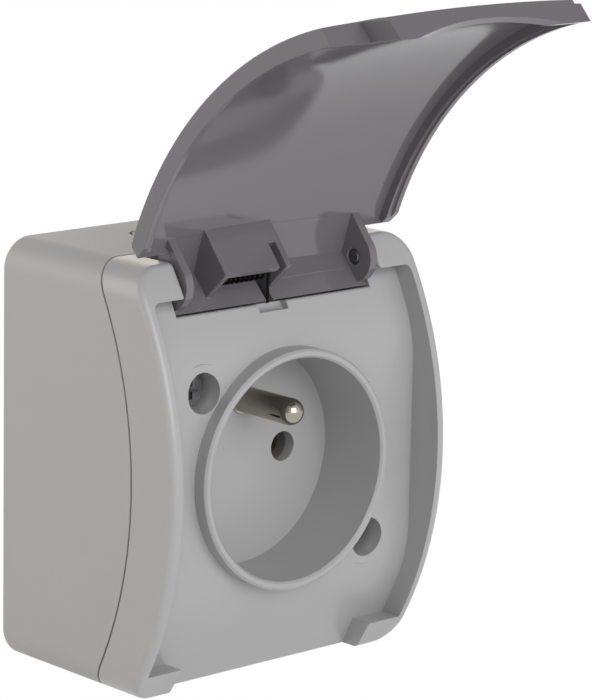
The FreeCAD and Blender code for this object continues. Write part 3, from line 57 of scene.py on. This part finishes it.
# Where the marks of its making are faintest and strongest, its roughness is this many times the plain one.
POLISHED, DULLED = 0.8, 1.25
# Octaves of the noise for soft changes and for crisp marks.
SOFT, CRISP = 2.0, 3.0


def linear(hex_colour):
    """An sRGB hex colour as linear RGBA."""
    channels = [int(hex_colour[i:i + 2], 16) / 255 for i in (1, 3, 5)]
    return [c / 12.92 if c <= 0.04045 else ((c + 0.055) / 1.055) ** 2.4 for c in channels] + [1.0]


def add_node(tree, kind, settings=None, values=None, links=None):
    """A node with its settings, its unlinked input values and the links into it."""
    node = tree.nodes.new(kind)
    for name, value in (settings or {}).items():
        setattr(node, name, value)
    for name, value in (values or {}).items():
        node.inputs[name].default_value = value
    for name, source in (links or {}).items():
        tree.links.new(source, node.inputs[name])
    return node


def spread(tree, source, low, high):
    """A noise value spread from low to high."""
    node = add_node(tree, "ShaderNodeMapRange", links={"Value": source}, values={
        "From Min": NOISE_LOW, "From Max": NOISE_HIGH, "To Min": low, "To Max": high})
    return node.outputs["Result"]


def noise(tree, size, detail, stretch=(1.0, 1.0, 1.0)):
    """Noise with features of a real size in millimetres, fixed to the surface.

    Along each axis the features are stretch times as long, and without end where it is nought.
    """
    place = add_node(tree, "ShaderNodeTexCoord")
    scale = [1 / (size * MM * axis) if axis else 0.0 for axis in stretch]
    sized = add_node(tree, "ShaderNodeMapping", links={"Vector": place.outputs["Object"]},
                     values={"Scale": scale})
    node = add_node(tree, "ShaderNodeTexNoise", links={"Vector": sized.outputs["Vector"]},
                    values={"Scale": 1.0, "Detail": detail})
    return node.outputs["Fac"]


def new_material(name, links, values):
    """A material of one shader, with links for what varies over the surface and values for the rest."""
    material = bpy.data.materials.new(name)
    material.use_nodes = True
    tree = material.node_tree
    tree.nodes.clear()
    shader = add_node(tree, "ShaderNodeBsdfPrincipled", values=values, links=links(tree))
    add_node(tree, "ShaderNodeOutputMaterial", links={"Surface": shader.outputs["BSDF"]})
    return material


def tinted(tree, colour, source, change):
    """A colour that grows lighter and darker by a share."""
    scaled = add_node(tree, "ShaderNodeVectorMath", {"operation": "SCALE"}, {0: linear(colour)[:3]},
                      {"Scale": spread(tree, source, 1 - change, 1 + change)})
    return scaled.outputs["Vector"]


def bump(tree, source, depth, edge=0.0):
    """Relief of a real depth, over edges softened to a real radius, both in millimetres."""
    links = {"Height": source}
    if edge:
        softened = add_node(tree, "ShaderNodeBevel", {"samples": EDGE_SAMPLES}, {"Radius": edge * MM})
        links["Normal"] = softened.outputs["Normal"]
    node = add_node(tree, "ShaderNodeBump", values={"Strength": 1.0, "Distance": depth * MM}, links=links)
    return node.outputs["Normal"]


def moulded(name, colour, roughness, grain, relief, edge, flow=9.0):
    """Moulded plastic or rubber: the mould's grain, softened edges, and slow changes across a face.

    The sizes of the grain, its relief, the edges and the flow are in millimetres.
    """
    def links(tree):
        slow = noise(tree, flow, SOFT)
        return {
            "Base Color": tinted(tree, colour, slow, FLOW_TINT),
            "Roughness": spread(tree, slow, roughness - FLOW_GLOSS, roughness + FLOW_GLOSS),
            "Normal": bump(tree, noise(tree, grain, SOFT), relief, edge),
        }
    return new_material(name, links, {"IOR": PLASTIC_IOR})


def metal(name, colour, roughness, mark, relief, stretch=(1.0, 1.0, 1.0)):
    """Bare or plated metal: the marks of its making, in millimetres, and gloss that follows them."""
    def links(tree):
        marks = noise(tree, mark, CRISP, stretch)
        return {
            "Base Color": tinted(tree, colour, noise(tree, PATCH_SIZE, SOFT), PATCH_TINT),
            "Roughness": spread(tree, marks, roughness * POLISHED, roughness * DULLED),
            "Normal": bump(tree, marks, relief),
        }
    return new_material(name, links, {"Metallic": 1.0})


def dress(nodes, material):
    """Give CAD nodes a finish through their own material slots."""
    for name in nodes:
        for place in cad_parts[name].material_slots:
            place.material = material


class SocketFinish(bpy.types.PropertyGroup):
    box_colour: bpy.props.StringProperty(
        name="Box", description="Colour of the back box as a hex value", default="#A2A1A2")
    cover_colour: bpy.props.StringProperty(
        name="Cover", description="Colour of the front cover as a hex value", default="#A2A1A2")
    lid_colour: bpy.props.StringProperty(
        name="Lid", description="Colour of the lid as a hex value", default="#69666C")
    # Real mould grain is about a third of this, too fine to show.
    grain: bpy.props.FloatProperty(
        name="Mould grain", description="Width of the grain of the moulded faces in millimetres",
        default=0.3, min=0.05, max=2.0)


class SocketStage(bpy.types.PropertyGroup):
    azimuth: bpy.props.FloatProperty(
        name="Azimuth", description="Camera round the object, nought from the front",
        default=math.radians(-42.431), subtype="ANGLE")
    elevation: bpy.props.FloatProperty(
        name="Elevation", description="Camera above the horizon",
        default=math.radians(12.373), subtype="ANGLE")
    roll: bpy.props.FloatProperty(
        name="Roll", description="Turn of the picture",
        default=math.radians(1.182), subtype="ANGLE")
    distance: bpy.props.FloatProperty(
        name="Distance", description="Camera to its target", default=0.635316, min=0.1, unit="LENGTH")
    lens: bpy.props.FloatProperty(
        name="Lens", description="Focal length in millimetres for a sensor 36 mm wide",
        default=184.152, min=10, unit="CAMERA")


class SOCKET_OT_back_box(bpy.types.Operator):
    """Grey moulded back box"""
    bl_idname = "socket.back_box"
    bl_label = "Back box"

    def execute(self, context):
        finish = context.scene.socket_finish
        # ABS from a spark-eroded mould: even and matt, with a fine grain that softens its highlights.
        dress(["back_box"],
              moulded("abs_spark_grained_box", finish.box_colour, roughness=0.5, grain=finish.grain,
                      relief=0.012, edge=0.2))
        return {"FINISHED"}


class SOCKET_OT_front_cover(bpy.types.Operator):
    """Grey moulded front cover"""
    bl_idname = "socket.front_cover"
    bl_label = "Front cover"

    def execute(self, context):
        finish = context.scene.socket_finish
        # ABS from a smoother mould: satin, so a soft light line runs along each rounded edge.
        dress(["front_cover"],
              moulded("abs_satin_cover", finish.cover_colour, roughness=0.3, grain=finish.grain,
                      relief=0.004, edge=0.2))
        return {"FINISHED"}


class SOCKET_OT_lid(bpy.types.Operator):
    """Dark glossy lid"""
    bl_idname = "socket.lid"
    bl_label = "Lid"

    def execute(self, context):
        finish = context.scene.socket_finish
        # ABS from a polished mould: near a mirror at a low angle, with faint flow waves.
        dress(["lid"],
              moulded("abs_polished_lid", finish.lid_colour, roughness=0.09, grain=6.0, relief=0.003,
                      edge=0.2, flow=14.0))
        return {"FINISHED"}


class SOCKET_OT_metalwork(bpy.types.Operator):
    """Screws, pins, spring and contacts"""
    bl_idname = "socket.metalwork"
    bl_label = "Metalwork"

    def execute(self, context):
        # Zinc plating on formed steel: a grey, slightly cloudy shine that glints on the edges of the cross.
        dress(["cover_screws", "base_screws", "terminal_screws"],
              metal("steel_zinc_plated", "#A0A0A2", roughness=0.2, mark=0.4, relief=0.002))
        # Blackened drawn steel: dark, with a dull shine.
        dress(["hinge_pin_left", "hinge_pin_right"],
              metal("steel_blackened", "#6A6A6D", roughness=0.5, mark=0.3, relief=0.003))
        # Drawn spring wire, phosphated and oiled: near black, with a dull shine. The near-black is partly
        # painted shade: the wire is made this dark so that the coil merges with the shadow inside the lid's
        # hood.
        dress(["lid_spring", "contact_clips"],
              metal("steel_spring_phosphated_and_painted_shade", "#1C1C1E", roughness=0.5, mark=0.3, relief=0.003))
        # Turned and nickel-plated brass: rings round the pin from the tool, under a warm bright plating.
        # The real rings are about half as wide, too fine to show.
        dress(["earth_pin"],
              metal("brass_turned_nickel_plated", "#A39D92", roughness=0.09, mark=0.12, relief=0.0004,
                    stretch=(0, 1, 0)))
        # Stamped brass, dulled by air: brownish, with hardly a shine.
        dress(["earth_strap", "live_contact", "neutral_contact", "live_terminal", "neutral_terminal",
               "earth_terminal"],
              metal("brass_stamped_dulled", "#75684C", roughness=0.45, mark=0.4, relief=0.003))
        return {"FINISHED"}


class SOCKET_OT_insulation(bpy.types.Operator):
    """Contact carrier, seal and grommet"""
    bl_idname = "socket.insulation"
    bl_label = "Insulation"

    def execute(self, context):
        grain = context.scene.socket_finish.grain
        # Moulded glass-filled polyamide, painted a dull dark grey instead of its real light tone: painted
        # shade, so that the pin holes look deep and shadowed.
        dress(["contact_base", "contact_cover"],
              moulded("polyamide_carrier_painted_hole_shade", "#6E6C69", roughness=0.45, grain=grain, relief=0.006,
                      edge=0.2))
        # Moulded foam rubber: black and dull.
        dress(["box_gasket"],
              moulded("rubber_foam_seal", "#2A2A2B", roughness=0.75, grain=0.5, relief=0.03, edge=0.2))
        # Moulded rubber: grey and soft-looking, with a dusty bloom.
        dress(["cable_grommet"],
              moulded("rubber_moulded_grommet", "#8C8A87", roughness=0.65, grain=0.4, relief=0.015,
                      edge=0.2))
        return {"FINISHED"}


class SOCKET_OT_stage(bpy.types.Operator):
    """Floor, soft studio light and camera"""
    bl_idname = "socket.stage"
    bl_label = "Studio"

    # The middle of the housing, which the lights face.
    MIDDLE = Vector((0, -0.03, 0))
    # Angles in degrees, lengths in metres and power in watts.
    LIGHT_DISTANCE = 1.1
    LIGHTS = {
        "front": {"azimuth": -10, "elevation": 22, "width": 0.8, "height": 0.7,
                  "power": 5.1, "colour": "#FCFEFF"},
        "left": {"azimuth": -130, "elevation": 18, "width": 1.4, "height": 0.66,
                 "power": 5.6, "colour": "#FFFCF2"},
        "behind": {"azimuth": 150, "elevation": 17, "width": 1.4, "height": 0.66,
                   "power": 4.0, "colour": "#FFF4E9"},
    }
    # The world's light by direction, from the front of the object round to its back.
    SKY = ((0.0, 1.0), (0.15, 0.57), (0.25, 0.36), (0.375, 0.22), (0.5, 0.17), (0.75, 0.2), (1.0, 0.3))
    SKY_STRENGTH = 1.62
    # The camera turns about the first, and looks past it by the others, to the right and up, in metres.
    PIVOT = Vector((0, -0.02, 0))
    SHIFT_RIGHT, SHIFT_UP = 0.014849, 0.016918
    SENSOR_WIDTH = 36.0
    NEAREST, FARTHEST = 0.01, 20.0
    FLOOR_REACH = 3.0

    def execute(self, context):
        scene = context.scene
        self.camera(scene, scene.socket_stage)
        self.floor(scene)
        self.world(scene)
        for name, light in self.LIGHTS.items():
            self.light(scene, name, **light)
        scene.view_settings.view_transform = "Standard"
        return {"FINISHED"}

    def heading(self, azimuth, elevation):
        """The direction from the object at two angles in radians, nought in front and growing rightwards."""
        level = math.cos(elevation)
        return Vector((math.sin(azimuth) * level, -math.cos(azimuth) * level, math.sin(elevation)))

    def light(self, scene, name, azimuth, elevation, width, height, power, colour):
        data = bpy.data.lights.new(name, "AREA")
        data.shape = "RECTANGLE"
        data.size, data.size_y = width, height
        data.energy = power
        data.color = linear(colour)[:3]
        light = bpy.data.objects.new(name, data)
        away = self.heading(math.radians(azimuth), math.radians(elevation))
        light.location = self.MIDDLE + away * self.LIGHT_DISTANCE
        light.rotation_euler = (-away).to_track_quat("-Z", "Y").to_euler()
        scene.collection.objects.link(light)

    def camera(self, scene, stage):
        back = self.heading(stage.azimuth, stage.elevation)
        level = Vector((-back.y, back.x, 0)).normalized()
        upright = back.cross(level)
        right = level * math.cos(stage.roll) + upright * math.sin(stage.roll)
        up = upright * math.cos(stage.roll) - level * math.sin(stage.roll)
        target = self.PIVOT + right * self.SHIFT_RIGHT + up * self.SHIFT_UP
        data = bpy.data.cameras.new("camera")
        data.lens = stage.lens
        data.sensor_width = self.SENSOR_WIDTH
        data.clip_start, data.clip_end = self.NEAREST, self.FARTHEST
        camera = bpy.data.objects.new("camera", data)
        turned = Matrix((right, up, back)).transposed()
        camera.matrix_world = Matrix.Translation(target + back * stage.distance) @ turned.to_4x4()
        scene.collection.objects.link(camera)
        scene.camera = camera

    def floor(self, scene):
        """Matt white paper, plain white to the camera and in what the glossy faces mirror."""
        low, far = cad_box[0].z, self.FLOOR_REACH
        mesh = bpy.data.meshes.new("floor")
        mesh.from_pydata([(-far, -far, low), (far, -far, low), (far, far, low), (-far, far, low)],
                         [], [(0, 1, 2, 3)])
        floor = bpy.data.objects.new("floor", mesh)
        scene.collection.objects.link(floor)
        material = bpy.data.materials.new("paper_matt_white")
        material.use_nodes = True
        tree = material.node_tree
        tree.nodes.clear()
        paper = add_node(tree, "ShaderNodeBsdfDiffuse", values={"Color": linear("#F2F2F2")})
        self.plain_white(tree, paper.outputs["BSDF"], ("Is Camera Ray", "Is Glossy Ray"),
                         "ShaderNodeEmission", "Emission", "ShaderNodeOutputMaterial")
        mesh.materials.append(material)

    def world(self, scene):
        """Soft light from all round, most of it from the front."""
        world = bpy.data.worlds.new("studio")
        scene.world = world
        world.use_nodes = True
        tree = world.node_tree
        tree.nodes.clear()
        place = add_node(tree, "ShaderNodeTexCoord")
        axes = add_node(tree, "ShaderNodeSeparateXYZ", links={"Vector": place.outputs["Generated"]})
        share = add_node(tree, "ShaderNodeMapRange", values={"From Min": -1.0, "From Max": 1.0},
                         links={"Value": axes.outputs["Y"]})
        ramp = add_node(tree, "ShaderNodeValToRGB", links={"Fac": share.outputs["Result"]})
        stops = ramp.color_ramp.elements
        while len(stops) < len(self.SKY):
            stops.new(0.5)
        for stop, (position, light) in zip(stops, self.SKY):
            stop.position = position
            stop.color = (light, light, light, 1.0)
        soft = add_node(tree, "ShaderNodeBackground", values={"Strength": self.SKY_STRENGTH},
                        links={"Color": ramp.outputs["Color"]})
        self.plain_white(tree, soft.outputs["Background"], ("Is Camera Ray", "Is Transmission Ray"),
                         "ShaderNodeBackground", "Background", "ShaderNodeOutputWorld")

    def plain_white(self, tree, seen_by_light, rays_to_white, kind, socket, output):
        """Plain white for two kinds of ray, and the given shader for all others."""
        rays = add_node(tree, "ShaderNodeLightPath")
        to_white = add_node(tree, "ShaderNodeMath", {"operation": "MAXIMUM"},
                            links={place: rays.outputs[ray] for place, ray in enumerate(rays_to_white)})
        white = add_node(tree, kind, values={"Color": (1, 1, 1, 1), "Strength": 1.0})
        mix = add_node(tree, "ShaderNodeMixShader",
                       links={0: to_white.outputs["Value"], 1: seen_by_light, 2: white.outputs[socket]})
        add_node(tree, output, links={"Surface": mix.outputs["Shader"]})


class SOCKET_PT_panel(bpy.types.Panel):
    """Steps that finish the socket"""
    bl_label = "Weatherproof socket"
    bl_space_type = "VIEW_3D"
    bl_region_type = "UI"
    bl_category = "Socket"

    def draw(self, context):
        for group in (context.scene.socket_finish, context.scene.socket_stage):
            for name in group.bl_rna.properties.keys():
                if name not in ("rna_type", "name"):
                    self.layout.prop(group, name)
        for operator in OPERATORS:
            self.layout.operator(operator.bl_idname)


OPERATORS = (SOCKET_OT_back_box, SOCKET_OT_front_cover, SOCKET_OT_lid, SOCKET_OT_metalwork,
             SOCKET_OT_insulation, SOCKET_OT_stage)
CLASSES = (SocketFinish, SocketStage) + OPERATORS + (SOCKET_PT_panel,)


def register():
    for item in CLASSES:
        bpy.utils.register_class(item)
    bpy.types.Scene.socket_finish = bpy.props.PointerProperty(type=SocketFinish)
    bpy.types.Scene.socket_stage = bpy.props.PointerProperty(type=SocketStage)


def unregister():
    del bpy.types.Scene.socket_stage
    del bpy.types.Scene.socket_finish
    for item in reversed(CLASSES):
        bpy.utils.unregister_class(item)


def main():
    register()
    bpy.ops.socket.back_box()
    bpy.ops.socket.front_cover()
    bpy.ops.socket.lid()
    bpy.ops.socket.metalwork()
    bpy.ops.socket.insulation()
    bpy.ops.socket.stage()


if __name__ == "__main__":
    main()
